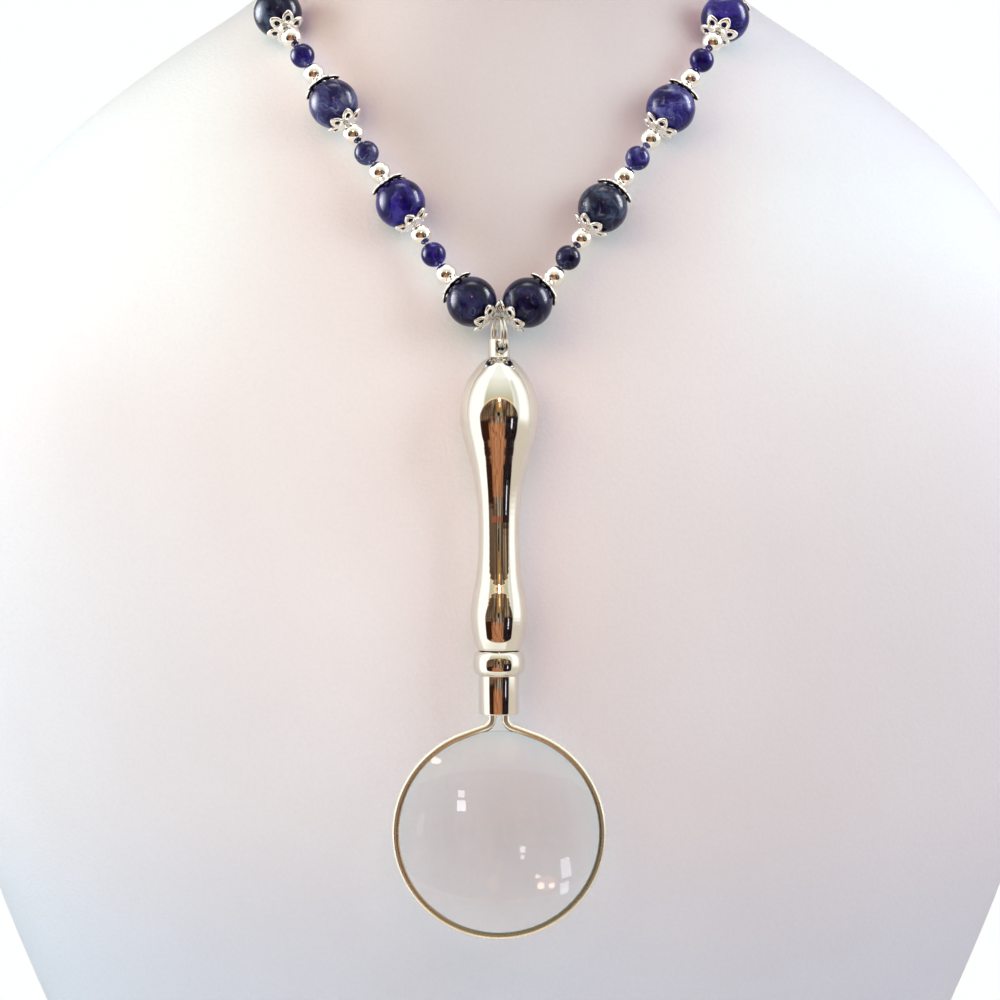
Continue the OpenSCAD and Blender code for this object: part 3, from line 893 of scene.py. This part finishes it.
def lights():
    """Soft light for the bust. The studio gives the silver and the stones their highlights."""
    for name, place, size, power, colour in (
            ("left_high", (-0.45, -0.15, 0.33), 0.3, 1.64, (0.8, 0.94, 1.0)),
            ("right_back", (0.5, 0.05, 0.38), 0.3, 1.22, (0.84, 0.78, 1.0)),
            ("right_near", (0.25, -0.25, 0.3), 0.2, 0.587, (0.745, 0.96, 1.0)),
            ("left_near", (-0.14, -0.26, 0.32), 0.15, 0.18, (1.0, 0.92, 0.45)),
            ("left_low", (-0.3, -0.3, 0.04), 0.3, 0.433, (0.3, 0.74, 1.0)),
            ("front_high", (0, -0.5, 0.45), 0.35, 0.545, (1.0, 0.3, 0.53)),
            ("back_high", (0, 0.55, 0.75), 0.4, 1.6, (1.0, 0.96, 0.94))):
        piece = area_light(name, place, LIGHTS_AIM, size, size, power, colour)
        unreflected(piece)
    skin = group("skin", [bpy.data.objects["bust_skin"]])
    for name, x, z, power, colour in (
            ("handle_glow", -0.024, 0.15, 0.008, (1.0, 0.9, 0.75)),
            ("lens_glow", -0.037, 0.084, 0.002, (0.3, 0.85, 1.0)),
            ("bulb_glow", -0.004, 0.187, 0.0055, (1.0, 1.0, 0.9)),
            ("collar_glow", 0.06, 0.262, 0.0055, (0.7, 1.0, 1.0))):
        piece = area_light(name, (x, GLOW_Y, z), (x, 0, z), GLOW_WIDTH, GLOW_HEIGHT, power, colour)
        unreflected(piece)
        piece.light_linking.receiver_collection = skin


# Windows and lamps that only some pieces reflect: azimuth and elevation as seen from them, width, height and
# roll in degrees, radiance, colour and shape.
ROUND, SQUARE = "ELLIPSE", "RECTANGLE"
WINDOW_BLUE = (0.9, 0.93, 1.0)
WARM = (1.0, 0.8, 0.6)
LENS_LIGHTS = [
    (-10.2, 2.2, 1.7, 1.9, 0, 9, WINDOW_BLUE, SQUARE), (-10.2, -1.0, 2.4, 2.9, 0, 11, WINDOW_BLUE, SQUARE),
    (-31.4, 7.2, 5.4, 9.0, 14, 7, WINDOW_BLUE, SQUARE), (-32.4, 16.6, 4.8, 6.0, 14, 7, WINDOW_BLUE, SQUARE),
    (-19.5, 15.2, 3.4, 3.0, 0, 12, WARM, ROUND), (-25.0, 15.2, 3.0, 3.0, 0, 12, WARM, ROUND),
    (-22.3, 14.2, 10, 7, 0, 2, (1.0, 0.5, 0.3), ROUND),
    (-17.4, 10.8, 2.6, 1.8, 0, 9, (1.0, 0.85, 0.7), ROUND)]
STONE_LIGHTS = [
    (-98, 8, 62, 56, 0, 4, WINDOW_BLUE, ROUND), (-98, 8, 44, 42, 0, 7, WINDOW_BLUE, ROUND),
    (-97, 8, 24, 28, 0, 11, WINDOW_BLUE, ROUND), (92, 24, 30, 52, 0, 4, WINDOW_BLUE, ROUND),
    (92, 24, 17, 36, 0, 20, WINDOW_BLUE, SQUARE), (0, 88, 34, 20, 0, 3, WINDOW_BLUE, ROUND),
    (0, 88, 18, 10, 0, 4, WINDOW_BLUE, ROUND), (0, 22, 9, 8, 0, 2, (1.0, 0.2, 0.45), ROUND)]
BEAD_LIGHTS = [(-98, 8, 46, 40, 0, 12, WINDOW_BLUE, ROUND), (92, 24, 24, 42, 0, 13, WINDOW_BLUE, ROUND),
               (0, 88, 40, 30, 0, 4, WINDOW_BLUE, ROUND)]
CAP_LIGHTS = [(-98, 8, 60, 60, 0, 1.2, WINDOW_BLUE, ROUND), (96, 20, 50, 60, 0, 1.2, WINDOW_BLUE, ROUND),
              (0, 88, 60, 50, 0, 1.2, WINDOW_BLUE, ROUND)]
CEILING_LAMP = (1.5, 20, 3.6, 3.6, 0, 50, (1.0, 0.5, 0.5), ROUND)
LIGHT_DISTANCE = 1.5


def far_light(name, centre, receivers, azimuth, elevation, width, height, roll, radiance, colour, shape):
    """A light that only the receivers' polish shows."""
    a, e = math.radians(azimuth), math.radians(elevation)
    way = Vector((math.sin(a) * math.cos(e), -math.cos(a) * math.cos(e), math.sin(e)))
    wide, high = (2 * LIGHT_DISTANCE * math.tan(math.radians(size) / 2) for size in (width, height))
    power = radiance * math.pi * wide * high
    piece = area_light(name, centre + way * LIGHT_DISTANCE, centre, wide, high, power, colour)
    piece.rotation_euler.rotate_axis("Z", math.radians(roll))
    piece.data.shape = shape
    piece.visible_diffuse = False
    piece.light_linking.receiver_collection = receivers
    return piece


def reflected_lights():
    """The lens has its own lights. Those of the beads, caps and handle shine past the bust's shoulders."""
    lens = group("lens", [bpy.data.objects["lens_glass"]])
    for i, row in enumerate(LENS_LIGHTS):
        far_light(f"lens_light_{i + 1}", LENS_MIDDLE, lens, *row)
    string_middle = middle("large_stone_right_1")
    string_middle.x = 0
    stones = [nodes[name] for name in nodes if "stone" in name]
    beads = [nodes[f"silver_beads_{side}"] for side in SIDES]
    caps = [bpy.data.objects[f"filigree_caps_{side}"] for side in SIDES]
    handle_piece = [bpy.data.objects["turned_handle"]]
    past = group("far floor", [bpy.data.objects["floor"]])
    for name, pieces, rows in (("stones", stones, STONE_LIGHTS), ("silver beads", beads, BEAD_LIGHTS),
                               ("caps", caps, CAP_LIGHTS),
                               ("beads and handle", stones + beads + caps + handle_piece, [CEILING_LAMP])):
        receivers = group(name, pieces)
        for i, row in enumerate(rows):
            light = far_light(f"{name} {i + 1}", string_middle, receivers, *row)
            light.light_linking.blocker_collection = past


def camera():
    view = bpy.data.cameras.new("camera")
    view.sensor_width = SENSOR
    view.lens = SENSOR * CAMERA_DISTANCE / (IMAGE_PX / PX_PER_MM * MM)
    view.clip_start = 10 * MM
    piece = bpy.data.objects.new("camera", view)
    scene.collection.objects.link(piece)
    aside = (IMAGE_PX / 2 - PENDANT_AXIS_PX) / PX_PER_MM * MM
    above = (LENS_MIDDLE_PX - IMAGE_PX / 2) / PX_PER_MM * MM
    piece.location = LENS_MIDDLE + Vector((aside, -CAMERA_DISTANCE, above))
    piece.rotation_euler = (math.radians(90), 0, 0)
    scene.camera = piece


camera()
world()
floor()
dress_nodes()
bust_skin()
lights()
bead_caps()
handle()
ferrule()
lens_glass()
reflected_lights()
scene.view_settings.view_transform = "Standard"
scene.cycles.use_denoising = True

bpy.context.view_layer.update()
